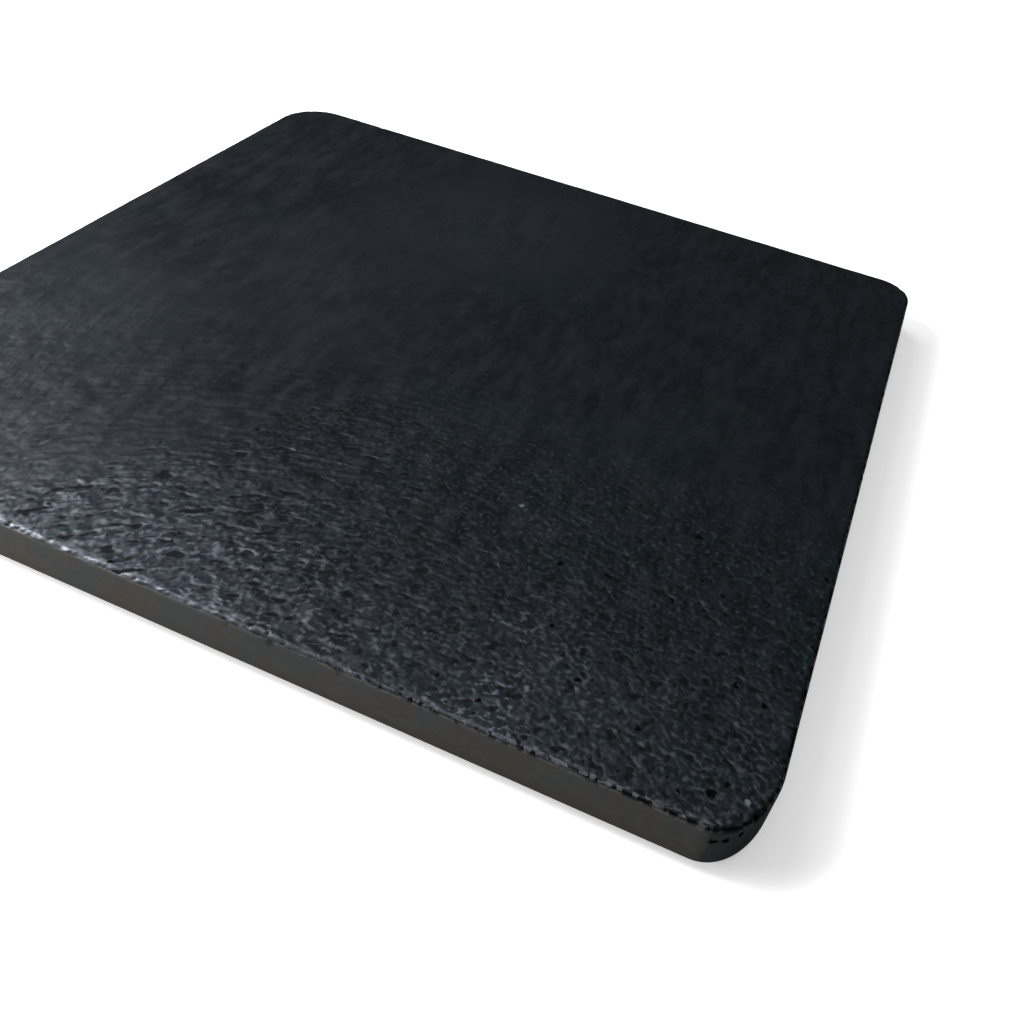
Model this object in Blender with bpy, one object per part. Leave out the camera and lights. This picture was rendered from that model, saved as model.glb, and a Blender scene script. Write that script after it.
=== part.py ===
"""Granite tooling slab for leatherwork: one heavy square plate of black granite on four rubber feet.

The plate is cut from sheet stone, its sides are honed, its four corners are ground round by hand and
its top face is brushed. Four self-adhesive rubber feet under the corners keep it from sliding.
Metres, +Z up. The origin is at the middle of the plan, on the surface that the feet stand on.
+X runs to the right along the front edge and +Y runs to the back.
"""

import math

import bmesh
import bpy

# Driving dimensions of the stone
SLAB_WIDTH = 0.3048
SLAB_DEPTH = 0.3048
SLAB_THICKNESS = 0.0145
TOP_ARRIS_RADIUS = 0.0018
BOTTOM_ARRIS_RADIUS = 0.0010

# The corners are ground by hand, so each is a quarter ellipse of its own: its reach along X and along Y
CORNER_REACHES = {
    "front_right": (0.0152, 0.0250),
    "back_right": (0.0135, 0.0135),
    "back_left": (0.0200, 0.0200),
    "front_left": (0.0180, 0.0190),
}

# Driving dimensions of a rubber foot
FOOT_HEIGHT = 0.0030
FOOT_TOP_RADIUS = 0.0100
FOOT_SOLE_RADIUS = 0.0088
FOOT_FLANGE_HEIGHT = 0.0008
FOOT_SOLE_ROUNDING = 0.0005
FOOT_RECESS_RADIUS = 0.0040
FOOT_RECESS_DEPTH = 0.0006
FOOT_RECESS_SLOPE = 0.0008
FOOT_INSET = 0.0300

# The adhesive film between a foot and the stone fills this gap
ADHESIVE_GAP = 0.0003

# How finely the curves are divided
CORNER_SEGMENTS = 16
TOP_ARRIS_SEGMENTS = 5
BOTTOM_ARRIS_SEGMENTS = 3
FOOT_TURN_STEPS = 40
FOOT_ROUNDING_STEPS = 3
SMOOTH_ANGLE = math.radians(32)

SLAB_UNDERSIDE = FOOT_HEIGHT + ADHESIVE_GAP


def clear_scene():
    """Empties the scene, so that the file holds only this object."""
    for old in list(bpy.data.objects):
        bpy.data.objects.remove(old)


def make_material(name, colour, roughness):
    """A plain Principled material, for the slab or for the rubber."""
    material = bpy.data.materials.new(name)
    material.use_nodes = True
    shader = material.node_tree.nodes["Principled BSDF"]
    shader.inputs["Base Color"].default_value = (*colour, 1.0)
    shader.inputs["Roughness"].default_value = roughness
    shader.inputs["Metallic"].default_value = 0.0
    return material


def make_object(name, bm, material, parent):
    """Turns a bmesh into a named, smooth-shaded object under its parent."""
    mesh = bpy.data.meshes.new(name)
    bmesh.ops.recalc_face_normals(bm, faces=bm.faces)
    bm.to_mesh(mesh)
    bm.free()
    mesh.materials.append(material)
    mesh.shade_smooth()
    mesh.set_sharp_from_angle(angle=SMOOTH_ANGLE)
    piece = bpy.data.objects.new(name, mesh)
    bpy.context.scene.collection.objects.link(piece)
    piece.parent = parent
    return piece


def corner_arc(corner, x_sign, y_sign, start_angle):
    """Points of one rounded corner of the plan, anticlockwise over a quarter turn."""
    reach_x, reach_y = CORNER_REACHES[corner]
    centre_x = x_sign * (SLAB_WIDTH / 2 - reach_x)
    centre_y = y_sign * (SLAB_DEPTH / 2 - reach_y)
    points = []
    for step in range(CORNER_SEGMENTS + 1):
        angle = start_angle + math.pi / 2 * step / CORNER_SEGMENTS
        points.append((centre_x + reach_x * math.cos(angle), centre_y + reach_y * math.sin(angle)))
    return points


def slab_outline():
    """The plan of the stone, anticlockwise from the right end of the front edge."""
    outline = corner_arc("front_right", 1, -1, -math.pi / 2)
    outline += corner_arc("back_right", 1, 1, 0.0)
    outline += corner_arc("back_left", -1, 1, math.pi / 2)
    outline += corner_arc("front_left", -1, -1, math.pi)
    return outline


def rim_edges(bm, height):
    """The edges that run round the plate at one height."""
    return [e for e in bm.edges if all(abs(v.co.z - height) < 1e-6 for v in e.verts)]


def round_rim(bm, height, radius, segments):
    """Eases the arris that runs round the plate at one height."""
    bmesh.ops.bevel(
        bm,
        geom=rim_edges(bm, height),
        offset=radius,
        offset_type="OFFSET",
        segments=segments,
        profile=0.5,
        affect="EDGES",
        clamp_overlap=True,
    )


def make_slab(material, parent):
    """The stone: the plan extruded to its thickness, with both arrises eased."""
    bm = bmesh.new()
    base = bm.faces.new([bm.verts.new((x, y, 0.0)) for x, y in slab_outline()])
    extruded = bmesh.ops.extrude_face_region(bm, geom=[base])
    top_verts = [g for g in extruded["geom"] if isinstance(g, bmesh.types.BMVert)]
    bmesh.ops.translate(bm, verts=top_verts, vec=(0.0, 0.0, SLAB_THICKNESS))
    round_rim(bm, SLAB_THICKNESS, TOP_ARRIS_RADIUS, TOP_ARRIS_SEGMENTS)
    round_rim(bm, 0.0, BOTTOM_ARRIS_RADIUS, BOTTOM_ARRIS_SEGMENTS)
    slab = make_object("granite_slab", bm, material, parent)
    slab.location = (0.0, 0.0, SLAB_UNDERSIDE)
    return slab


def foot_profile():
    """Radius and height pairs of a foot, from the middle of its top to the middle of its sole."""
    profile = [
        (0.0, FOOT_HEIGHT),
        (FOOT_TOP_RADIUS, FOOT_HEIGHT),
        (FOOT_TOP_RADIUS, FOOT_HEIGHT - FOOT_FLANGE_HEIGHT),
    ]
    for step in range(FOOT_ROUNDING_STEPS + 1):
        angle = math.pi / 2 * step / FOOT_ROUNDING_STEPS
        profile.append(
            (
                FOOT_SOLE_RADIUS - FOOT_SOLE_ROUNDING * (1 - math.cos(angle)),
                FOOT_SOLE_ROUNDING * (1 - math.sin(angle)),
            )
        )
    profile += [
        (FOOT_RECESS_RADIUS, 0.0),
        (FOOT_RECESS_RADIUS - FOOT_RECESS_SLOPE, FOOT_RECESS_DEPTH),
        (0.0, FOOT_RECESS_DEPTH),
    ]
    return profile


def make_foot(name, x, y, material, parent):
    """One moulded rubber foot: a low tapered disc with a shallow recess in its sole."""
    bm = bmesh.new()
    verts = [bm.verts.new((radius, 0.0, height)) for radius, height in foot_profile()]
    edges = [bm.edges.new(pair) for pair in zip(verts, verts[1:])]
    bmesh.ops.spin(
        bm,
        geom=verts + edges,
        cent=(0.0, 0.0, 0.0),
        axis=(0.0, 0.0, 1.0),
        angle=2 * math.pi,
        steps=FOOT_TURN_STEPS,
        use_merge=True,
    )
    bmesh.ops.remove_doubles(bm, verts=bm.verts, dist=1e-6)
    foot = make_object(name, bm, material, parent)
    foot.location = (x, y, 0.0)
    return foot


def make_feet(material, parent):
    """A foot under each corner of the stone, set in from both of its edges."""
    reach_x = SLAB_WIDTH / 2 - FOOT_INSET
    reach_y = SLAB_DEPTH / 2 - FOOT_INSET
    for end, y_sign in (("front", -1), ("back", 1)):
        for side, x_sign in (("left", -1), ("right", 1)):
            make_foot(f"foot_{end}_{side}", x_sign * reach_x, y_sign * reach_y, material, parent)


def main():
    clear_scene()
    granite = make_material("black_granite", (0.018, 0.022, 0.028), 0.42)
    rubber = make_material("black_rubber", (0.012, 0.012, 0.013), 0.75)
    assembly = bpy.data.objects.new("slab_assembly", None)
    bpy.context.scene.collection.objects.link(assembly)
    make_slab(granite, assembly)
    make_feet(rubber, assembly)


main()
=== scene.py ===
"""Looks of the granite tooling slab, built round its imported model.

A relief-carved stone replaces the plain slab, and four moulded feet with their adhesive film replace
the plain feet. Both are made in mesh code, and every surface has a procedural material worked out in
millimetres of the object's own space, so that the crystals run on through the stone from face to face.
"""

import itertools
import math

import bpy
import numpy as np
from mathutils import Matrix, Vector


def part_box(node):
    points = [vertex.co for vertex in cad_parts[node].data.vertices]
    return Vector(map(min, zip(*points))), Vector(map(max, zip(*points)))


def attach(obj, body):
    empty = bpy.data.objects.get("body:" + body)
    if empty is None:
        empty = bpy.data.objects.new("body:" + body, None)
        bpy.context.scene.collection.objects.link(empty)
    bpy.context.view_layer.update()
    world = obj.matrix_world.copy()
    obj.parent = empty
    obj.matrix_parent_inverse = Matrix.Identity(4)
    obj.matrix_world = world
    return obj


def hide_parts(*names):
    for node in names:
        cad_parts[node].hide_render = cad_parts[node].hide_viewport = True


MM = 0.001

# ---------------------------------------------------------------------------- the stone's shape

# Reach of each rounded corner along X and along Y, and the two arrises, as the plain slab has them
CORNER_REACHES = {
    (1, -1): (15.2 * MM, 25.0 * MM),
    (1, 1): (13.5 * MM, 13.5 * MM),
    (-1, 1): (20.0 * MM, 20.0 * MM),
    (-1, -1): (18.0 * MM, 19.0 * MM),
}
TOP_ARRIS_RADIUS = 1.8 * MM
BOTTOM_ARRIS_RADIUS = 1.0 * MM

TOP_CELLS = 264
TOP_ARRIS_STEPS = 7
SIDE_STEPS = 8
BOTTOM_ARRIS_STEPS = 3
UNDERSIDE_INSETS = (3 * MM, 12 * MM)

# Relief of the brushed face and of the sides: (size of a lump, depth of the relief, seed)
TOP_RELIEF = (
    (52 * MM, 0.060 * MM, 11),
    (13.0 * MM, 0.100 * MM, 12),
    (5.2 * MM, 0.090 * MM, 13),
)
SIDE_RELIEF = (
    (32 * MM, 0.060 * MM, 21),
    (7.0 * MM, 0.020 * MM, 22),
)
# The top face falls away toward its edge, by this much and over this reach
EDGE_FALL = 0.12 * MM
EDGE_FALL_REACH = 2.2 * MM
# How far the top arris strays in plan, and the noise it follows: (size of a bend, share, seed)
ARRIS_WANDER = 0.45 * MM
ARRIS_BENDS = ((26 * MM, 1.0, 31), (7 * MM, 0.6, 32))

# Chips knocked out of the top arris at random, and the ones that stand out: (x, y, radius, depth)
CHIP_COUNT = 110
CHIP_SEED = 41
CHIP_SCATTER = 0.3 * MM
CHIP_RADIUS = (0.6 * MM, 1.7 * MM)
CHIP_DEPTH = (0.05 * MM, 0.30 * MM)
# Depth at which a chip is painted fully black, as painted shade in the chip
CHIP_SHADE_DEPTH = 0.35 * MM
PLACED_CHIPS = (
    (135.4 * MM, -151.4 * MM, 1.3 * MM, 0.50 * MM),
    (130.6 * MM, -151.5 * MM, 1.1 * MM, 0.40 * MM),
    (140.6 * MM, -150.9 * MM, 1.2 * MM, 0.42 * MM),
    (142.4 * MM, -150.0 * MM, 1.2 * MM, 0.46 * MM),
    (144.0 * MM, -149.0 * MM, 1.1 * MM, 0.42 * MM),
    (148.3 * MM, -143.6 * MM, 1.5 * MM, 0.50 * MM),
    (150.9 * MM, -124.4 * MM, 1.5 * MM, 0.55 * MM),
    (151.1 * MM, -121.2 * MM, 1.3 * MM, 0.50 * MM),
)
# How deep the larger pits, listed below, are carved into the mesh
PLACED_PIT_DEPTH = 0.30 * MM

# ---------------------------------------------------------------------------- the stone's finish

# From here to the feet's shape, places and sizes are in millimetres

CRYSTAL_SIZE = 1.7
# Size of the small cells that the front right arris is broken into by gaps of painted shade
FACET_SIZE = 2.1
# How shapes are pushed out of true, (size of the lumps, reach): small ragged ones and broad bends
RAGGED = (1.8, 1.2)
BENT = (7.0, 1.2)
# Smears in the sealer: their sizes across and along
SMEAR_SIZES = ((9.0, 30.0), (3.4, 12.0))
# The brushing swept in arcs about a point in front of the stone. A stroke's length holds at the radius
BRUSH_CENTRE = (61.0, -262.0)
BRUSH_RADIUS = 160.0
# The strokes' size across and along, the sizes of the dimples and grit among them, and the relief of each
STROKE_SIZE = (2.5, 6.5)
STROKE_RELIEF = 0.56
DIMPLE_SIZE = 3.6
DIMPLE_RELIEF = 0.40
GRIT_SIZE = 1.8
GRIT_RELIEF = 0.24
# Slow lumps under the strokes, and the roughness of the sealed face where nothing changes it
LUMP_SIZE = 8.5
LUMP_RELIEF = 0.62
TOP_GLOSS = 0.32
# Painted glints: pale grains painted near the front edge where highlights fall: their size across and along
# the strokes, the band from their first to their full strength along Y, where they thin out along X, and a
# gap in the band, as the middle, where it is deepest and where it ends
FRONT_GLINT_SIZE = (1.5, 2.6)
FRONT_GLINT_BAND = (-86.0, -142.0)
FRONT_GLINT_THINNING = (80.0, 112.0)
FRONT_GLINT_GAP = ((48.0, -124.0, 17.8), 12.0, 36.0)
# The brushing bit deep in the front right only, up to a slanting line on the left and a band at the back
DEEP_LEFT = (10.0, 26.0)
DEEP_LEFT_LEAN = 0.58
DEEP_BACK = (-75.0, -5.0)
LEFT_SHARE = 0.40
BACK_SHARE = 0.20
# Depths in the strokes over which painted shade darkens their hollows and they stop throwing light back, and
# how fully they stop
HOLLOW_SHADE_DEPTHS = (-0.02, -0.11)
HOLLOW_SHADE_SHARE = 0.85
# Pits where soft crystals fell out, drawn as spots of painted shade, black and dull: (spacing, share of the
# places that hold none, largest radius)
PITS = ((6.5, 0.35, 0.90), (2.6, 0.40, 0.50))
# The arris is worn glossier, and broken by gaps of painted shade, from the left end of this range along X,
# and fully from its right end on
WORN_ARRIS = (-10.0, 60.0)
# Painted shade on the side of the front right corner, as it turns away from the light: where that begins
# along X and along Y
SHADED_CORNER = ((139.1, 140.1), (-110.0, -138.0))
# The larger pits, also painted black as their shade, and the painted glints, pale spots where highlights
# stand out: (place, radius)
PLACED_PITS = (
    ((136.9, -142.8, 17.6), 1.7),
    ((139.4, -138.5, 17.6), 0.9),
    ((142.8, -110.5, 17.6), 1.3),
    ((134.6, -107.8, 17.6), 1.1),
    ((115.7, -133.4, 17.6), 1.2),
    ((91.6, -86.7, 17.6), 1.0),
    ((110.6, -56.6, 17.6), 1.5),
    ((140.4, -150.9, 13.2), 1.5),
    ((143.2, -149.8, 13.4), 1.3),
    ((146.5, -147.6, 14.0), 1.2),
)
# Painted glints: pale spots painted where highlights stand out
PLACED_GLINTS = (
    ((145.2, -141.0, 17.6), 0.8),
    ((147.2, -147.4, 17.2), 0.8),
    ((59.1, -72.0, 17.6), 0.9),
)
# Painted sheen: pale bluish-grey patches painted into the face's colour where sheen falls: (middle, reach,
# strength)
PAINTED_SHEENS = (
    ((-20.0, 90.0, 17.8), 70.0, 0.42),
    ((-28.0, -146.0, 17.8), 55.0, 0.66),
    ((92.0, -142.0, 17.8), 34.0, 0.45),
    ((-122.0, -62.0, 17.8), 56.0, 0.62),
    ((-54.0, 10.0, 17.8), 62.0, 0.26),
)
# How far the strokes of the cloth that wiped the sealer push the painted sheen's edges about
SHEEN_EDGE_WANDER = 170.0
# Those strokes shape the face at the left, up to where the brush's take over along X, and their relief
WIPED_LEFT = (-125.0, -30.0)
WIPED_RELIEF = 2.5

# Crystals from the darkest to the palest, as (place in the range, colour), on the face and on the sides
TOP_CRYSTALS = (
    (0.0, (0.0024, 0.0032, 0.0047)),
    (0.6, (0.0034, 0.0045, 0.0064)),
    (1.0, (0.0052, 0.0067, 0.0092)),
)
SIDE_CRYSTALS = (
    (0.0, (0.040, 0.037, 0.033)),
    (0.5, (0.047, 0.044, 0.039)),
    (1.0, (0.056, 0.052, 0.046)),
)
UNDERSIDE_CRYSTALS = ((0.050, 0.051, 0.052), (0.085, 0.084, 0.080))
# Flecks in the brushed face, from violet to grey to teal
FLECK_TINTS = (
    (0.36, (0.022, 0.022, 0.030)),
    (0.50, (0.020, 0.025, 0.030)),
    (0.62, (0.014, 0.030, 0.029)),
)
SMEAR_COLOUR = (0.0060, 0.0076, 0.0100)
TEAL_COLOUR = (0.0040, 0.0085, 0.0095)
# Painted sheen: the pale bluish grey painted where sheen falls on the face
PAINTED_SHEEN_COLOUR = (0.0115, 0.0148, 0.0192)
# Painted glints: the pale colour painted in grains along the front edge
FRONT_GLINT_COLOUR = (0.066, 0.072, 0.090)
# Painted glints: the pale colour painted at the listed places
PLACED_GLINT_COLOUR = (0.070, 0.084, 0.098)
# Painted shade: near-black painted into the face's hollows and breaks
RECESS_SHADE_COLOUR = (0.0006, 0.0007, 0.0008)
# Painted shade: the near-black painted into pits, chips and the arris's gaps on every face
BREAK_SHADE_COLOUR = (0.0007, 0.0007, 0.0008)
RUST_COLOUR = (0.058, 0.038, 0.022)
MOSS_COLOUR = (0.033, 0.043, 0.042)
UPPER_SIDE_COLOUR = (0.040, 0.043, 0.045)
LOWER_SIDE_COLOUR = (0.038, 0.031, 0.024)
# Painted shade on the front right corner's side
CORNER_SHADE_COLOUR = (0.014, 0.015, 0.016)
SHINE_TINT = (0.80, 0.89, 1.0, 1.0)

# ---------------------------------------------------------------------------- the feet's shape

FOOT_TOP_RADIUS = 10.0 * MM
FOOT_SOLE_RADIUS = 8.8 * MM
FOOT_FLANGE_HEIGHT = 0.8 * MM
FOOT_SOLE_ROUNDING = 0.5 * MM
FOOT_EDGE_ROUNDING = 0.15 * MM
FOOT_RECESS_RADIUS = 4.0 * MM
FOOT_RECESS_DEPTH = 0.6 * MM
FOOT_RECESS_SLOPE = 0.8 * MM
FOOT_SIDES = 96
FOOT_SHARP_ANGLE = math.radians(40)
FILM_RADIUS = 9.5 * MM
FILM_CLEARANCE = 0.02 * MM

# ---------------------------------------------------------------------------- camera and light

# The camera's place from the middle of the plan, above the stone's underside, and how it is turned
CAMERA_PLACE = (0.1226, -0.2969, 0.2162)
CAMERA_HEADING = math.radians(16.43)
CAMERA_TILT = math.radians(48.76)
CAMERA_ROLL = math.radians(9.88)
CAMERA_LENS = 36.27
SENSOR_WIDTH = 36.0

FLOOR_SIZE = 14.0
# The floor's grey as it is seen, as it is mirrored in the stone and as it throws soft light on it, and
# the glow that lifts the seen one to near-white
FLOOR_SEEN = (0.80, 0.80, 0.80)
FLOOR_MIRRORED = (0.22, 0.22, 0.22)
FLOOR_SPREAD = (0.28, 0.28, 0.28)
FLOOR_LIFT = 0.45
# The backdrop's grey as it is seen, and as it lights the stone
BACKDROP_SEEN = (0.93, 0.93, 0.93, 1.0)
BACKDROP_LIGHT = (0.03, 0.03, 0.03, 1.0)

# Softboxes: (name, place, width, watts)
SOFTBOXES = (
    ("key", (-0.60, -0.20, 0.50), 0.40, 10.2),
    ("low_left", (-0.40, -0.40, 0.20), 0.20, 1.8),
)
# Light from far off: (name, degrees from the back toward the right, degrees above the floor, strength)
FAR_LIGHTS = (
    ("left", -75, 45, 1.10),
    ("high_left", -75, 65, 0.31),
    ("overhead", 0, 88, 0.42),
    ("front", 180, 60, 0.28),
)
FAR_LIGHT_SPREAD = math.radians(30)

# ---------------------------------------------------------------------------- the stone's mesh


def smooth_noise(points, size, seed):
    """Gradient noise through space, about -0.5 to 0.5, with lumps of the given size."""
    rng = np.random.default_rng(seed)
    slopes = rng.normal(size=(256, 3))
    slopes /= np.linalg.norm(slopes, axis=1, keepdims=True)
    shuffle = rng.permutation(256)
    scaled = points / size
    cell = np.floor(scaled).astype(int)
    part = scaled - cell
    fade = part**3 * (part * (part * 6 - 15) + 10)
    total = np.zeros(len(points))
    for corner in itertools.product((0, 1), repeat=3):
        spot = (cell + corner) & 255
        pick = shuffle[(shuffle[(shuffle[spot[:, 0]] + spot[:, 1]) & 255] + spot[:, 2]) & 255]
        weight = np.where(corner, fade, 1 - fade).prod(axis=1)
        total += weight * (slopes[pick] * (part - corner)).sum(axis=1)
    return total


def relief_depth(points, layers):
    """How far the surface lies below its highest level, from several layers of noise."""
    depth = np.zeros(len(points))
    for size, height, seed in layers:
        depth += height * np.clip(0.5 + smooth_noise(points, size, seed), 0.0, 1.0)
    return depth


def round_corners(x, y, half):
    """Moves points of a square grid onto the rounded plan. Gives the points and their outward directions."""
    ring = np.maximum(np.abs(x), np.abs(y))
    reach = np.zeros((len(x), 2))
    for (x_sign, y_sign), corner_reach in CORNER_REACHES.items():
        here = (np.where(x < 0, -1, 1) == x_sign) & (np.where(y < 0, -1, 1) == y_sign)
        reach[here] = corner_reach
    reach *= np.maximum(1 - (half - ring) / reach.min(axis=1), 0.0)[:, None]
    core = ring[:, None] - reach
    grid = np.stack([x, y], axis=-1)
    inner = np.clip(grid, -core, core)
    out = grid - inner
    in_corner = (np.abs(out) > 1e-9).all(axis=1)
    safe = np.maximum(reach, 1e-9)
    length = np.hypot(*(out / safe).T)
    stretch = np.where(in_corner, 1 / np.maximum(length, 1e-9), 1.0)
    outward = np.where(in_corner[:, None], out / safe**2, out)
    outward /= np.maximum(np.hypot(*outward.T), 1e-12)[:, None]
    return inner + out * stretch[:, None], outward


def rim_loop(cells):
    """Grid positions of the square's edge, anticlockwise seen from above."""
    steps = range(cells)
    loop = [(i, 0) for i in steps]
    loop += [(cells, j) for j in steps]
    loop += [(cells - i, cells) for i in steps]
    loop += [(0, cells - j) for j in steps]
    return np.array(loop)


def slab_profile(top, underside):
    """The stone's section from the top face's edge down to the underside.

    Each step is (reach beyond the top face, height, share of upward facing, brushed finish, sawn finish).
    """
    section = []
    for step in range(1, TOP_ARRIS_STEPS + 1):
        angle = math.pi / 2 * step / TOP_ARRIS_STEPS
        drop = TOP_ARRIS_RADIUS * (1 - math.cos(angle))
        brushed = min(1.0, max(0.0, 2.0 * math.cos(angle) - 0.5))
        section.append((TOP_ARRIS_RADIUS * math.sin(angle), top - drop, math.cos(angle), brushed, 0.0))
    side_top = top - TOP_ARRIS_RADIUS
    side_bottom = underside + BOTTOM_ARRIS_RADIUS
    for step in range(1, SIDE_STEPS + 1):
        height = side_top + (side_bottom - side_top) * step / SIDE_STEPS
        section.append((TOP_ARRIS_RADIUS, height, 0.0, 0.0, 0.0))
    for step in range(1, BOTTOM_ARRIS_STEPS + 1):
        angle = math.pi / 2 * step / BOTTOM_ARRIS_STEPS
        reach = TOP_ARRIS_RADIUS - BOTTOM_ARRIS_RADIUS * (1 - math.cos(angle))
        height = side_bottom - BOTTOM_ARRIS_RADIUS * math.sin(angle)
        section.append((reach, height, -math.sin(angle), 0.0, step / BOTTOM_ARRIS_STEPS))
    edge = TOP_ARRIS_RADIUS - BOTTOM_ARRIS_RADIUS
    for inset in UNDERSIDE_INSETS:
        section.append((edge - inset, underside, -1.0, 0.0, 1.0))
    return section


def chips(rim_points):
    """Centre, radius and depth of every chip: the placed ones, then the random ones along the arris."""
    level = rim_points[:, 2].mean()
    result = [(np.array([x, y, level]), radius, deepest) for x, y, radius, deepest in PLACED_CHIPS]
    rng = np.random.default_rng(CHIP_SEED)
    for _ in range(CHIP_COUNT):
        centre = rim_points[rng.integers(len(rim_points))] + rng.normal(0, CHIP_SCATTER, 3)
        size = rng.uniform(0, 1) ** 3
        radius = CHIP_RADIUS[0] + (CHIP_RADIUS[1] - CHIP_RADIUS[0]) * size
        result.append((centre, radius, CHIP_DEPTH[0] + (CHIP_DEPTH[1] - CHIP_DEPTH[0]) * size))
    return result


def chip_depth(points, rim_points):
    """How deep each point lies in a chip."""
    depth = np.zeros(len(points))
    for centre, radius, deepest in chips(rim_points):
        distance = np.linalg.norm(points - centre, axis=1)
        depth = np.maximum(depth, deepest * np.clip(1 - (distance / radius) ** 2, 0, 1))
    return depth


def pit_depth(points):
    """How deep each point lies in one of the pits that stand out."""
    depth = np.zeros(len(points))
    for centre, radius in PLACED_PITS:
        distance = np.linalg.norm(points - np.array(centre) * MM, axis=1)
        depth = np.maximum(depth, PLACED_PIT_DEPTH * np.clip(1 - (distance / (radius * MM)) ** 2, 0, 1))
    return depth


def stone_points(low, high):
    """All the stone's points, the top grid's rim, and the finish at each point by name.

    The points come in rows: the top grid, then each ring of the section.
    """
    half = (high.x - low.x) / 2
    axis = np.linspace(-(half - TOP_ARRIS_RADIUS), half - TOP_ARRIS_RADIUS, TOP_CELLS + 1)
    grid_x, grid_y = np.meshgrid(axis, axis, indexing="ij")
    plan, _ = round_corners(grid_x.ravel(), grid_y.ravel(), half)
    flat = len(plan)
    points = np.column_stack([plan, np.full(flat, high.z)])
    facing = np.tile([0.0, 0.0, 1.0], (flat, 1))
    to_edge = half - TOP_ARRIS_RADIUS - np.maximum(np.abs(grid_x), np.abs(grid_y)).ravel()
    fall = EDGE_FALL * np.exp(-to_edge / EDGE_FALL_REACH)
    brushed = [np.ones(flat)]
    sawn = [np.zeros(flat)]

    loop = rim_loop(TOP_CELLS)
    rim = loop[:, 0] * (TOP_CELLS + 1) + loop[:, 1]
    rim_plan = plan[rim]
    grow = half / (half - TOP_ARRIS_RADIUS)
    outer_plan, rim_out = round_corners(grid_x.ravel()[rim] * grow, grid_y.ravel()[rim] * grow, half)
    rim_space = np.column_stack([rim_plan, np.zeros(len(rim))])
    bends = [share * smooth_noise(rim_space, size, seed) for size, share, seed in ARRIS_BENDS]
    wander = ARRIS_WANDER * sum(bends)
    rings = []
    facings = []
    for reach, height, up, is_brushed, is_sawn in slab_profile(high.z, low.z):
        side_share = math.sqrt(max(0.0, 1 - up * up))
        across = rim_plan + (outer_plan - rim_plan) * reach / TOP_ARRIS_RADIUS
        moved = wander * np.clip(1 - reach / TOP_ARRIS_RADIUS, 0, 1) * (up > 0)
        ring = np.column_stack([across + rim_out * moved[:, None], np.full(len(rim), height)])
        rings.append(ring)
        facings.append(np.column_stack([rim_out * side_share, np.full(len(rim), up)]))
        brushed.append(np.full(len(rim), is_brushed))
        sawn.append(np.full(len(rim), is_sawn))
    points = np.vstack([points, *rings])
    facing = np.vstack([facing, *facings])
    fall = np.concatenate([fall, np.zeros(len(points) - flat)])
    upward = np.clip(facing[:, 2], 0, 1)
    sideways = np.hypot(facing[:, 0], facing[:, 1])
    depth = upward * (relief_depth(points, TOP_RELIEF) + EDGE_FALL * np.where(fall > 0, 0, 1)) + fall
    depth += sideways * relief_depth(points, SIDE_RELIEF)
    chipped = chip_depth(points, rings[TOP_ARRIS_STEPS // 2])
    depth += chipped + pit_depth(points)
    finish = {
        "brushed": np.concatenate(brushed),
        "sawn": np.concatenate(sawn),
        # Painted shade: how far each point is painted black for lying in a chip
        "chipped": np.clip(chipped / CHIP_SHADE_DEPTH, 0, 1),
        "arris": 2 * upward * sideways,
    }
    return points - facing * depth[:, None], rim, finish


def stone_faces(rim, ring_count):
    """Quads of the top grid and of the bands between the rings, and one flat face for the underside."""
    across = TOP_CELLS + 1
    i, j = np.meshgrid(np.arange(TOP_CELLS), np.arange(TOP_CELLS), indexing="ij")
    first = (i * across + j).ravel()
    faces = np.column_stack([first, first + across, first + across + 1, first + 1]).tolist()
    upper = rim
    for ring in range(ring_count):
        lower = across * across + ring * len(rim) + np.arange(len(rim))
        quads = np.column_stack([lower, np.roll(lower, -1), np.roll(upper, -1), upper])
        faces += quads.tolist()
        upper = lower
    faces.append(upper[::-1].tolist())
    return faces


def set_point_values(mesh, name, values):
    layer = mesh.attributes.new(name, "FLOAT", "POINT")
    layer.data.foreach_set("value", values.astype(np.float32))


def make_stone(material):
    low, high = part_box("granite_slab")
    points, rim, finish = stone_points(low, high)
    ring_count = len(slab_profile(high.z, low.z))
    mesh = bpy.data.meshes.new("stone")
    mesh.from_pydata(points.tolist(), [], stone_faces(rim, ring_count))
    mesh.shade_smooth()
    mesh.polygons[-1].use_smooth = False
    for name, values in finish.items():
        set_point_values(mesh, name, values)
    mesh.materials.append(material)
    stone = bpy.data.objects.new("stone", mesh)
    bpy.context.scene.collection.objects.link(stone)
    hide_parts("granite_slab")
    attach(stone, "root")


# ---------------------------------------------------------------------------- the feet


def rounded(centre_radius, centre_height, rounding, start, end, steps=5):
    """Radius and height pairs round an arc of a turned profile, start and end in degrees."""
    angles = np.radians(np.linspace(start, end, steps + 1))
    return [(centre_radius + rounding * math.cos(a), centre_height + rounding * math.sin(a)) for a in angles]


def foot_profile(height):
    """The turned profile of a moulded foot, from the middle of its top to the middle of its sole."""
    flange = height - FOOT_FLANGE_HEIGHT
    edge = FOOT_EDGE_ROUNDING
    sole = FOOT_SOLE_ROUNDING
    profile = [(0.0, height), (FOOT_TOP_RADIUS * 0.5, height)]
    profile += rounded(FOOT_TOP_RADIUS - edge, height - edge, edge, 90, 0)
    profile += rounded(FOOT_TOP_RADIUS - edge, flange + edge, edge, 0, -90)
    profile += rounded(FOOT_SOLE_RADIUS + edge, flange - edge, edge, 90, 180)
    profile += rounded(FOOT_SOLE_RADIUS - sole, sole, sole, 0, -90, 8)
    profile += rounded(FOOT_RECESS_RADIUS + edge, edge, edge, -90, -150)
    profile += rounded(FOOT_RECESS_RADIUS - FOOT_RECESS_SLOPE, FOOT_RECESS_DEPTH - edge, edge, 30, 90)
    profile.append((0.0, FOOT_RECESS_DEPTH))
    return profile


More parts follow.
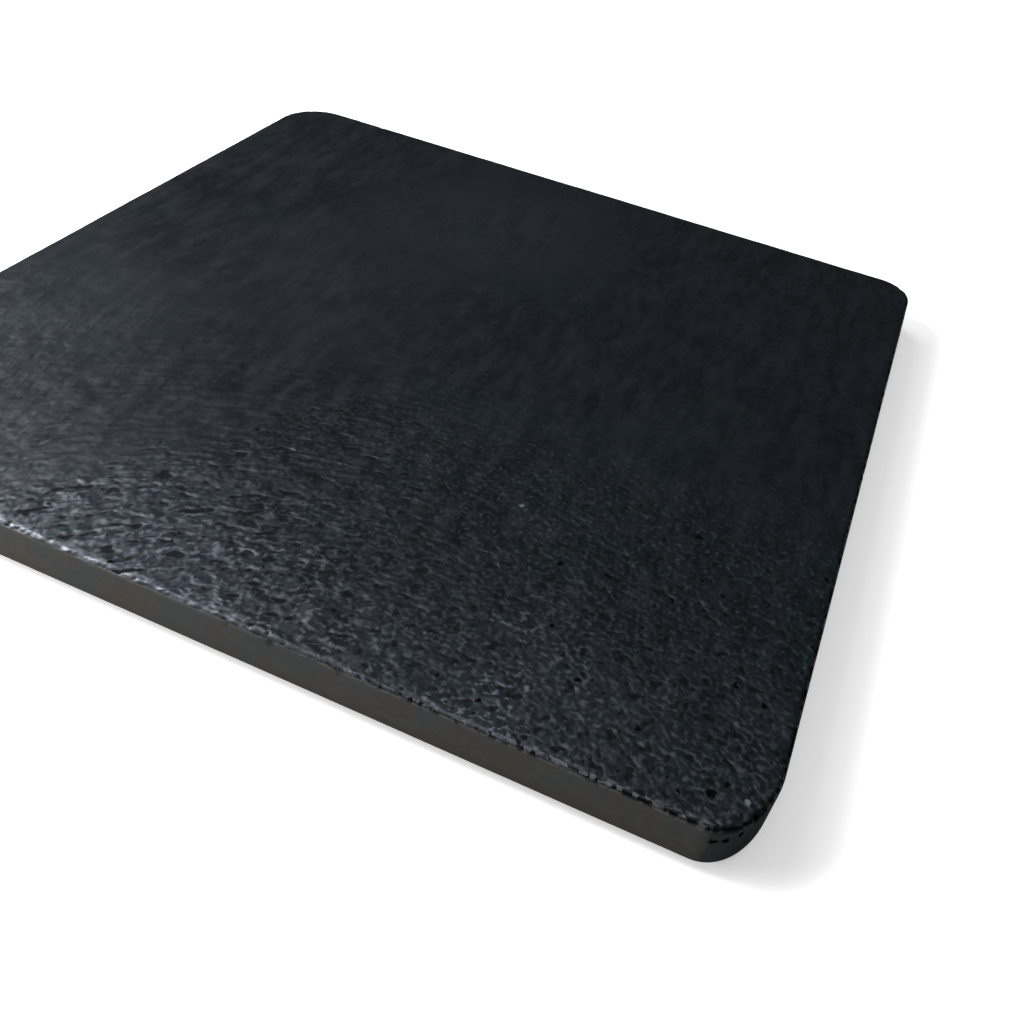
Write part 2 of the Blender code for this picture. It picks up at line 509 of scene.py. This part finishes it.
def turned_disc(profile, sides, first):
    """Points and faces of a closed turned shape whose profile starts and ends on the axis."""
    points = [(0.0, 0.0, profile[0][1])]
    for radius, height in profile[1:-1]:
        for side in range(sides):
            angle = 2 * math.pi * side / sides
            points.append((radius * math.cos(angle), radius * math.sin(angle), height))
    points.append((0.0, 0.0, profile[-1][1]))
    rings = len(profile) - 2
    last = first + len(points) - 1
    faces = []
    for side in range(sides):
        after = (side + 1) % sides
        faces.append((first, first + 1 + side, first + 1 + after))
        for ring in range(rings - 1):
            upper = first + 1 + ring * sides
            lower = upper + sides
            faces.append((upper + side, lower + side, lower + after, upper + after))
        bottom = first + 1 + (rings - 1) * sides
        faces.append((last, bottom + after, bottom + side))
    return points, faces


def make_foot(node, rubber, adhesive):
    """A moulded foot with the film of adhesive that holds it to the stone."""
    low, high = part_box(node)
    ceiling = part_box("granite_slab")[0].z
    height = high.z - low.z
    points, faces = turned_disc(foot_profile(height), FOOT_SIDES, 0)
    rubber_faces = len(faces)
    film_top = ceiling - low.z - FILM_CLEARANCE
    film = [(0.0, film_top), (FILM_RADIUS, film_top), (FILM_RADIUS, height), (0.0, height)]
    film_points, film_faces = turned_disc(film, FOOT_SIDES, len(points))
    mesh = bpy.data.meshes.new("detailed_" + node)
    mesh.from_pydata(points + film_points, [], faces + film_faces)
    mesh.shade_smooth()
    mesh.set_sharp_from_angle(angle=FOOT_SHARP_ANGLE)
    mesh.materials.append(rubber)
    mesh.materials.append(adhesive)
    for polygon in mesh.polygons[rubber_faces:]:
        polygon.material_index = 1
    foot = bpy.data.objects.new("detailed_" + node, mesh)
    foot.location = ((low.x + high.x) / 2, (low.y + high.y) / 2, low.z)
    bpy.context.scene.collection.objects.link(foot)
    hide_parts(node)
    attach(foot, "root")


# ---------------------------------------------------------------------------- node trees


class Graph:
    """Builds one material's node tree. Inputs can be sockets or plain values."""

    def __init__(self, name):
        self.material = bpy.data.materials.new(name)
        self.material.use_nodes = True
        self.tree = self.material.node_tree
        self.shader = self.tree.nodes["Principled BSDF"]

    def feed(self, socket, value):
        if isinstance(value, bpy.types.NodeSocket):
            self.tree.links.new(value, socket)
        else:
            socket.default_value = value

    def add(self, kind, inputs=(), **settings):
        """A node with its settings and its inputs, given as a dict by name or number."""
        node = self.tree.nodes.new("ShaderNode" + kind)
        for key, value in settings.items():
            setattr(node, key, value)
        for key, value in dict(inputs).items():
            self.feed(node.inputs[key], value)
        return node

    def finish(self, **inputs):
        """Connects the Principled shader's inputs, named with _ for a space."""
        for key, value in inputs.items():
            self.feed(self.shader.inputs[key.replace("_", " ")], value)
        return self.material

    def millimetres(self, stretch=(1, 1, 1)):
        """The object's own space in millimetres, divided by stretch along each axis."""
        space = self.add("TexCoord").outputs["Object"]
        scale = tuple(1 / MM / s for s in stretch)
        return self.add("Mapping", {"Vector": space, "Scale": scale}).outputs["Vector"]

    def value(self, name):
        """A number stored on the mesh's points."""
        return self.add("Attribute", attribute_name=name).outputs["Fac"]

    def math(self, operation, a, b=0.0):
        return self.add("Math", {0: a, 1: b}, operation=operation).outputs[0]

    def total(self, *terms):
        result = terms[0]
        for term in terms[1:]:
            result = self.math("ADD", result, term)
        return result

    def noise(self, vector, size, detail=2.0, roughness=0.5, output="Fac"):
        """Noise whose lumps measure size in the vector's units, from 0 to 1."""
        inputs = {"Vector": vector, "Scale": 1 / size, "Detail": detail, "Roughness": roughness}
        return self.add("TexNoise", inputs).outputs[output]

    def centred(self, vector, size, height, detail=2.0, roughness=0.5):
        """Noise about zero, height from its lowest to its highest."""
        raw = self.noise(vector, size, detail, roughness)
        return self.math("MULTIPLY", self.math("SUBTRACT", raw, 0.5), height)

    def cells(self, vector, size):
        """Irregular cells: the distance from each one's middle in sizes, and a random colour for each."""
        return self.add("TexVoronoi", {"Vector": vector, "Scale": 1 / size})

    def channel(self, colour, name):
        return self.add("SeparateColor", {"Color": colour}).outputs[name]

    def ramp(self, value, low, high, start=0.0, end=1.0, smooth=True):
        """value moved from the range low to high into the range start to end, and held inside it."""
        inputs = {"Value": value, "From Min": low, "From Max": high, "To Min": start, "To Max": end}
        kind = "SMOOTHSTEP" if smooth else "LINEAR"
        return self.add("MapRange", inputs, interpolation_type=kind).outputs["Result"]

    def colours(self, value, stops):
        """A colour ramp through (position, colour) stops."""
        node = self.add("ValToRGB", {"Fac": value})
        ramp = node.color_ramp
        while len(ramp.elements) < len(stops):
            ramp.elements.new(0.5)
        for element, (position, colour) in zip(ramp.elements, stops):
            element.position = position
            element.color = (*colour, 1.0)
        return node.outputs["Color"]

    def blend(self, factor, a, b):
        """Colour a turned into colour b by factor."""
        node = self.add("Mix", data_type="RGBA")
        self.feed(node.inputs["Factor"], factor)
        for number, value in ((6, a), (7, b)):
            value = value if isinstance(value, bpy.types.NodeSocket) else (*value, 1.0)
            self.feed(node.inputs[number], value)
        return node.outputs[2]

    def between(self, factor, a, b):
        """Number a turned into number b by factor."""
        node = self.add("Mix", {"Factor": factor, 2: a, 3: b}, data_type="FLOAT")
        return node.outputs[0]

    def warp(self, vector, size, reach):
        """vector pushed about by up to reach, in lumps of size."""
        push = self.noise(vector, size, 1.0, output="Color")
        push = self.add("VectorMath", {0: push, 1: (0.5, 0.5, 0.5)}, operation="SUBTRACT").outputs[0]
        push = self.add("VectorMath", {0: push, "Scale": 2 * reach}, operation="SCALE").outputs[0]
        return self.add("VectorMath", {0: vector, 1: push}, operation="ADD").outputs[0]

    def bump(self, height):
        """A bump from a height in millimetres."""
        return self.add("Bump", {"Height": height, "Distance": MM}).outputs["Normal"]


def swept_place(g, place, across, along):
    """Place in millimetres along and across the arcs that the face was brushed in, divided by their sizes."""
    x = g.math("SUBTRACT", g.channel(place, "Red"), BRUSH_CENTRE[0])
    y = g.math("SUBTRACT", g.channel(place, "Green"), BRUSH_CENTRE[1])
    distance = g.math("SQRT", g.total(g.math("MULTIPLY", x, x), g.math("MULTIPLY", y, y)))
    angle = g.math("MULTIPLY", g.math("ARCTAN2", x, y), BRUSH_RADIUS)
    parts = {"X": g.math("DIVIDE", distance, across), "Y": g.math("DIVIDE", angle, along)}
    return g.add("CombineXYZ", parts).outputs["Vector"]


def brushed_roughly(g, place):
    """How deep the brushing bit: 1 in the front right, LEFT_SHARE left of it and BACK_SHARE at the back."""
    back = g.channel(place, "Green")
    wander = g.centred(place, 24.0, 44.0, 3.0)
    from_left = g.total(g.channel(place, "Red"), g.math("MULTIPLY", back, -DEEP_LEFT_LEAN), wander)
    left = g.ramp(from_left, *DEEP_LEFT, LEFT_SHARE, 1.0)
    return g.math("MULTIPLY", left, g.ramp(g.total(back, wander), *DEEP_BACK, 1.0, BACK_SHARE))


def pits(g, ragged):
    """Small irregular holes, from 0 on the face to 1 inside one, where the material paints black shade."""
    result = 0.0
    for spacing, empty, largest in PITS:
        holes = g.cells(ragged, spacing)
        distance = g.math("MULTIPLY", holes.outputs["Distance"], spacing)
        chance = g.channel(holes.outputs["Color"], "Red")
        radius = g.ramp(chance, empty, 1.0, -0.3, largest, smooth=False)
        pit = g.ramp(g.math("SUBTRACT", distance, radius), 0.15, -0.15)
        result = g.math("MAXIMUM", result, pit)
    return result


def spots(g, ragged, places):
    """Ragged spots at the given places, from 0 outside to 1 inside one."""
    result = 0.0
    for middle, radius in places:
        away = g.add("VectorMath", {0: ragged, 1: middle}, operation="DISTANCE").outputs["Value"]
        result = g.math("MAXIMUM", result, g.ramp(away, radius * 1.15, radius * 0.6))
    return result


def arris_gap_shade(g, ragged, arris):
    """Gaps of painted shade that break the front right arris's highlight into dots, from 0 to 1."""
    gaps = g.ramp(g.cells(ragged, FACET_SIZE).outputs["Distance"], 0.46, 0.62)
    return g.math("MULTIPLY", gaps, arris)


def shaded_corner(g, ragged):
    """1 where shade is painted on the side of the front right corner, 0 elsewhere."""
    along_x, along_y = SHADED_CORNER
    from_left = g.ramp(g.channel(ragged, "Red"), *along_x)
    return g.math("MULTIPLY", from_left, g.ramp(g.channel(ragged, "Green"), *along_y))


def smears(g, bent):
    """Faint smears in the sealer, running from front to back, from 0 to 1."""
    total = 0.0
    for across, along in SMEAR_SIZES:
        scale = (1 / across, 1 / along, 1 / across)
        stretched = g.add("Mapping", {"Vector": bent, "Scale": scale}).outputs["Vector"]
        total = g.total(total, g.noise(stretched, 1.0, 2.5))
    return g.math("MULTIPLY", total, 1 / len(SMEAR_SIZES))


def front_glints(g, place, bent):
    """Painted glints: pale grains painted along the front edge, from 0 to 1."""
    result = g.ramp(g.noise(swept_place(g, bent, *FRONT_GLINT_SIZE), 1.0, 2.0), 0.49, 0.68)
    result = g.math("MULTIPLY", result, g.ramp(g.channel(place, "Green"), *FRONT_GLINT_BAND, 0.08, 1.0))
    result = g.math("MULTIPLY", result, g.ramp(g.channel(place, "Red"), *FRONT_GLINT_THINNING, 1.0, 0.35))
    middle, inner, outer = FRONT_GLINT_GAP
    away = g.add("VectorMath", {0: place, 1: middle}, operation="DISTANCE").outputs["Value"]
    result = g.math("MULTIPLY", result, g.ramp(away, inner, outer, 0.40, 1.0))
    return g.math("MULTIPLY", result, g.ramp(g.noise(place, 11.0, 2.0), 0.38, 0.60, 0.35, 1.0))


def brushed_colour(g, place, ragged, bent, pick, finish):
    """Near-black crystals with smears, teal mottling and flecks, painted sheen, painted glints, and painted
    shade in hollows and breaks.
    """
    top = g.colours(pick, TOP_CRYSTALS)
    top = g.blend(g.ramp(finish["smears"], 0.38, 0.62, 0.0, 0.6), top, SMEAR_COLOUR)
    teal = g.ramp(g.noise(place, 60.0, 1.0), 0.52, 0.68, 0.0, 0.25)
    top = g.blend(teal, top, TEAL_COLOUR)
    wiped = g.math("MULTIPLY", g.total(finish["smears"], -0.5), SHEEN_EDGE_WANDER)
    patchy = g.total(g.centred(place, 34.0, 60.0, 3.0), wiped)
    # Painted sheen, spread round each listed middle
    for middle, reach, strength in PAINTED_SHEENS:
        away = g.add("VectorMath", {0: place, 1: middle}, operation="DISTANCE").outputs["Value"]
        painted_sheen = g.ramp(g.total(away, patchy), reach * 0.3, reach, strength, 0.0)
        top = g.blend(painted_sheen, top, PAINTED_SHEEN_COLOUR)
    fleck = g.ramp(g.noise(place, 1.5, 2.0), 0.55, 0.70)
    fleck = g.math("MULTIPLY", fleck, g.ramp(finish["deep"], BACK_SHARE, 1.0, 0.12, 0.75))
    top = g.blend(fleck, top, g.colours(g.noise(place, 14.0, 1.0), FLECK_TINTS))
    # Painted glints along the front edge
    top = g.blend(g.math("MULTIPLY", front_glints(g, place, bent), finish["deep"]), top, FRONT_GLINT_COLOUR)
    # Painted glints at the listed places
    top = g.blend(spots(g, ragged, PLACED_GLINTS), top, PLACED_GLINT_COLOUR)
    # Painted shade in the face's hollows and breaks
    return g.blend(finish["painted_shade"], top, RECESS_SHADE_COLOUR)


def honed_colour(g, place, ragged, pick):
    """Grey-brown crystals with rusty and mossy patches, cooler above and browner below, and painted shade on
    the front right corner.
    """
    height = g.channel(place, "Blue")
    side = g.colours(pick, SIDE_CRYSTALS)
    side = g.blend(g.ramp(g.noise(place, 7.0, 3.0), 0.46, 0.64, 0.0, 0.75), side, RUST_COLOUR)
    side = g.blend(g.ramp(g.noise(place, 12.0, 2.0), 0.54, 0.38, 0.0, 0.50), side, MOSS_COLOUR)
    side = g.blend(g.ramp(height, 9.0, 16.0, 0.0, 0.35), side, UPPER_SIDE_COLOUR)
    side = g.blend(g.ramp(height, 9.0, 3.5, 0.0, 0.50), side, LOWER_SIDE_COLOUR)
    # Painted shade on the front right corner
    return g.blend(g.math("MULTIPLY", shaded_corner(g, ragged), 0.85), side, CORNER_SHADE_COLOUR)


def granite_colour(g, place, ragged, bent, crystals, finish):
    """The brushed, the honed and the sawn colour, with the same crystals, and painted black shade in pits,
    chips and the arris's gaps.
    """
    pick = g.channel(crystals.outputs["Color"], "Red")
    top = brushed_colour(g, place, ragged, bent, pick, finish)
    side = honed_colour(g, place, ragged, pick)
    under = g.blend(g.math("MULTIPLY", pick, 0.6), *UNDERSIDE_CRYSTALS)
    colour = g.blend(finish["brushed"], side, top)
    # Painted shade in pits, chips and the arris's gaps
    colour = g.blend(finish["break_shade"], colour, BREAK_SHADE_COLOUR)
    return g.blend(finish["sawn"], colour, under)


def brushed_relief(g, place, bent):
    """Relief of the brushed face: strokes, faint where it was wiped, and dimples and grit to the right."""
    along = g.channel(place, "Red")
    to_right = g.ramp(along, 20.0, 110.0, 0.4, 1.0)
    swept = swept_place(g, bent, *STROKE_SIZE)
    strokes = g.centred(swept, 1.0, STROKE_RELIEF, 0.6, 0.4)
    strokes = g.math("MULTIPLY", strokes, g.ramp(along, -10.0, 100.0, 1.0, 0.30))
    strokes = g.math("MULTIPLY", strokes, g.ramp(along, *WIPED_LEFT, 0.35, 1.0))
    dimples = g.centred(bent, DIMPLE_SIZE, DIMPLE_RELIEF, 0.6, 0.4)
    dimples = g.math("MULTIPLY", dimples, to_right)
    grit = g.centred(bent, GRIT_SIZE, GRIT_RELIEF, 0.0)
    grit = g.math("MULTIPLY", grit, to_right)
    return g.total(strokes, dimples, grit)


def granite_relief(g, place, finish):
    """Height in millimetres: strokes, lumps and wiped swirls, fine honing lines, or the sweep of a saw."""
    lumps = g.centred(place, LUMP_SIZE, LUMP_RELIEF, 1.0)
    at_left = g.ramp(g.channel(place, "Red"), *WIPED_LEFT, WIPED_RELIEF, 0.0)
    wiped = g.math("MULTIPLY", g.total(finish["smears"], -0.5), at_left)
    rough = g.math("MULTIPLY", g.total(finish["strokes"], lumps, wiped), finish["deep"])
    rough = g.math("MULTIPLY", rough, g.ramp(finish["arris"], 0.1, 0.9, 1.0, 0.25))
    grain = g.centred(place, 0.7, 0.010, 1.0)
    top = g.total(rough, grain)
    side = g.total(g.centred(g.millimetres((22.0, 22.0, 0.35)), 1.0, 0.010, 2.0), grain)
    sweep = g.centred(g.millimetres((1.6, 60.0, 60.0)), 1.0, 0.06, 1.0)
    under = g.total(sweep, g.math("MULTIPLY", grain, 5.0))
    return g.between(finish["sawn"], g.between(finish["brushed"], side, top), under)


def granite_gloss(g, place, finish):
    """Roughness of each finish: streaky on the sealed face, rubbed glossier on the arris, dull in pits."""
    worn = g.ramp(finish["deep"], BACK_SHARE, 1.0, 0.03, 0.0)
    rubbed = g.math("MULTIPLY", finish["arris"], -0.10)
    streaky = g.ramp(finish["smears"], 0.3, 0.7, -0.06, 0.06)
    top = g.total(TOP_GLOSS, worn, g.centred(place, 26.0, 0.08), streaky, rubbed)
    side = g.total(0.50, g.centred(place, 1.6, 0.14))
    honed = g.between(finish["brushed"], side, top)
    return g.between(finish["sawn"], g.between(finish["painted_shade"], honed, 0.80), 0.78)


def granite_material():
    """Blue-black granite: brushed and sealed on top, honed grey on the sides, sawn underneath."""
    g = Graph("granite")
    place = g.millimetres()
    ragged = g.warp(place, *RAGGED)
    bent = g.warp(place, *BENT)
    edge = g.centred(place, 1.1, 0.5)
    brushed = g.ramp(g.total(g.value("brushed"), edge), 0.25, 0.75)
    crystals = g.cells(ragged, CRYSTAL_SIZE)
    deep = brushed_roughly(g, place)
    strokes = brushed_relief(g, place, bent)
    arris = g.math("MULTIPLY", g.value("arris"), g.ramp(g.channel(place, "Red"), *WORN_ARRIS))
    # Painted shade: pits are painted black, on top of the larger pits carved into the mesh
    pit_shade = g.math("MULTIPLY", g.math("MULTIPLY", pits(g, ragged), brushed), g.ramp(deep, 0.35, 0.75))
    pit_shade = g.math("MAXIMUM", pit_shade, spots(g, ragged, PLACED_PITS))
    # Painted shade: pits, chips and the arris's gaps are painted near-black
    break_shade = g.math("MAXIMUM", pit_shade, g.math("MAXIMUM", g.value("chipped"), arris_gap_shade(g, ragged, arris)))
    depth = g.math("MULTIPLY", g.math("MULTIPLY", strokes, deep), brushed)
    # Painted shade: the deepest parts of the strokes are painted near-black and dulled
    hollow_shade = g.ramp(depth, *HOLLOW_SHADE_DEPTHS, 0.0, HOLLOW_SHADE_SHARE)
    finish = {
        "brushed": brushed,
        "sawn": g.value("sawn"),
        "arris": arris,
        "deep": deep,
        "strokes": strokes,
        "smears": smears(g, bent),
        "break_shade": break_shade,
        "painted_shade": g.math("MAXIMUM", hollow_shade, break_shade),
    }
    g.shader.inputs["Specular Tint"].default_value = SHINE_TINT
    return g.finish(
        Base_Color=granite_colour(g, place, ragged, bent, crystals, finish),
        Roughness=granite_gloss(g, place, finish),
        Specular_IOR_Level=g.between(finish["painted_shade"], g.ramp(arris, 0.2, 0.8, 0.5, 0.9), 0.03),
        Normal=g.bump(granite_relief(g, place, finish)),
    )


def rubber_material():
    """Matt black moulded rubber with a fine grain, dusty where it rubs."""
    g = Graph("foot_rubber")
    place = g.millimetres()
    grain = g.centred(place, 0.16, 0.016, 2.0)
    flow = g.centred(place, 2.4, 0.020, 2.0)
    dust = g.ramp(g.noise(place, 1.3, 4.0, 0.7), 0.55, 0.80, 0.0, 0.35)
    colour = g.blend(g.noise(place, 3.0, 3.0), (0.010, 0.010, 0.011), (0.017, 0.017, 0.018))
    colour = g.blend(dust, colour, (0.060, 0.058, 0.055))
    gloss = g.total(0.66, g.centred(place, 1.8, 0.16), g.math("MULTIPLY", dust, 0.5))
    return g.finish(Base_Color=colour, Roughness=gloss, Normal=g.bump(g.total(grain, flow)))


def adhesive_material():
    """Clear-grey acrylic film."""
    g = Graph("adhesive_film")
    place = g.millimetres()
    colour = g.blend(g.noise(place, 0.8, 2.0), (0.22, 0.22, 0.21), (0.32, 0.32, 0.30))
    gloss = g.total(0.34, g.centred(place, 0.6, 0.12))
    return g.finish(Base_Color=colour, Roughness=gloss, Normal=g.bump(g.centred(place, 0.5, 0.02)))


# ---------------------------------------------------------------------------- camera, floor and light


def make_camera():
    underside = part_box("granite_slab")[0].z
    data = bpy.data.cameras.new("camera")
    data.lens = CAMERA_LENS
    data.sensor_width = SENSOR_WIDTH
    data.clip_start = 0.01
    camera = bpy.data.objects.new("camera", data)
    turn = (
        Matrix.Rotation(CAMERA_HEADING, 4, "Z")
        @ Matrix.Rotation(CAMERA_TILT, 4, "X")
        @ Matrix.Rotation(CAMERA_ROLL, 4, "Z")
    )
    place = Vector(CAMERA_PLACE) + Vector((0, 0, underside))
    camera.matrix_world = Matrix.Translation(place) @ turn
    bpy.context.scene.collection.objects.link(camera)
    bpy.context.scene.camera = camera


def make_floor():
    """A plain pale floor, near-white as it is seen and greyer in the light that it throws on the stone."""
    half = FLOOR_SIZE / 2
    mesh = bpy.data.meshes.new("floor")
    corners = [(-half, -half, 0), (half, -half, 0), (half, half, 0), (-half, half, 0)]
    mesh.from_pydata(corners, [], [(0, 1, 2, 3)])
    g = Graph("floor")
    path = g.add("LightPath")
    seen = g.math("MULTIPLY", path.outputs["Is Camera Ray"], FLOOR_LIFT)
    g.feed(g.shader.inputs["Specular IOR Level"], 0.0)
    g.feed(g.shader.inputs["Emission Color"], (1.0, 1.0, 1.0, 1.0))
    g.feed(g.shader.inputs["Emission Strength"], seen)
    lit = g.blend(path.outputs["Is Camera Ray"], FLOOR_SPREAD, FLOOR_SEEN)
    colour = g.blend(path.outputs["Is Glossy Ray"], lit, FLOOR_MIRRORED)
    mesh.materials.append(g.finish(Base_Color=colour, Roughness=1.0))
    floor = bpy.data.objects.new("floor", mesh)
    bpy.context.scene.collection.objects.link(floor)


def make_world():
    world = bpy.data.worlds.new("studio")
    bpy.context.scene.world = world
    world.use_nodes = True
    tree = world.node_tree
    background = tree.nodes["Background"]
    path = tree.nodes.new("ShaderNodeLightPath")
    seen = tree.nodes.new("ShaderNodeMix")
    seen.data_type = "RGBA"
    seen.inputs[6].default_value = BACKDROP_LIGHT
    seen.inputs[7].default_value = BACKDROP_SEEN
    tree.links.new(path.outputs["Is Camera Ray"], seen.inputs["Factor"])
    tree.links.new(seen.outputs[2], background.inputs["Color"])


def link_light(data, place):
    """A light at the place, turned toward the middle of the plan and out of the camera's sight."""
    light = bpy.data.objects.new(data.name, data)
    turn = (-Vector(place)).to_track_quat("-Z", "Y")
    light.matrix_world = Matrix.Translation(Vector(place)) @ turn.to_matrix().to_4x4()
    light.visible_camera = False
    bpy.context.scene.collection.objects.link(light)


def make_lights():
    """Round softboxes close on the left, and soft light from high up and from the front."""
    for name, place, size, power in SOFTBOXES:
        data = bpy.data.lights.new(name, "AREA")
        data.shape = "DISK"
        data.size = size
        data.energy = power
        link_light(data, place)
    for name, azimuth, elevation, energy in FAR_LIGHTS:
        data = bpy.data.lights.new(name, "SUN")
        data.energy = energy
        data.angle = FAR_LIGHT_SPREAD
        turn = math.radians(azimuth)
        rise = math.radians(elevation)
        level = math.cos(rise)
        link_light(data, (math.sin(turn) * level, math.cos(turn) * level, math.sin(rise)))


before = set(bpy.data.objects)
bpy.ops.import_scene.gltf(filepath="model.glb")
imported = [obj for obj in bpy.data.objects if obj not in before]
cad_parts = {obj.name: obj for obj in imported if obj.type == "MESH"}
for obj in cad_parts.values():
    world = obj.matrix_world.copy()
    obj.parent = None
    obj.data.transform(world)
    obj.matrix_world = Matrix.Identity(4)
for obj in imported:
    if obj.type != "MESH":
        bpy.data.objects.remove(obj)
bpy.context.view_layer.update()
bpy.context.scene.view_settings.view_transform = "Standard"
make_camera()
make_floor()
make_world()
make_lights()
make_stone(granite_material())
foot_rubber = rubber_material()
adhesive_film = adhesive_material()
for foot_node in ("foot_front_left", "foot_front_right", "foot_back_left", "foot_back_right"):
    make_foot(foot_node, foot_rubber, adhesive_film)
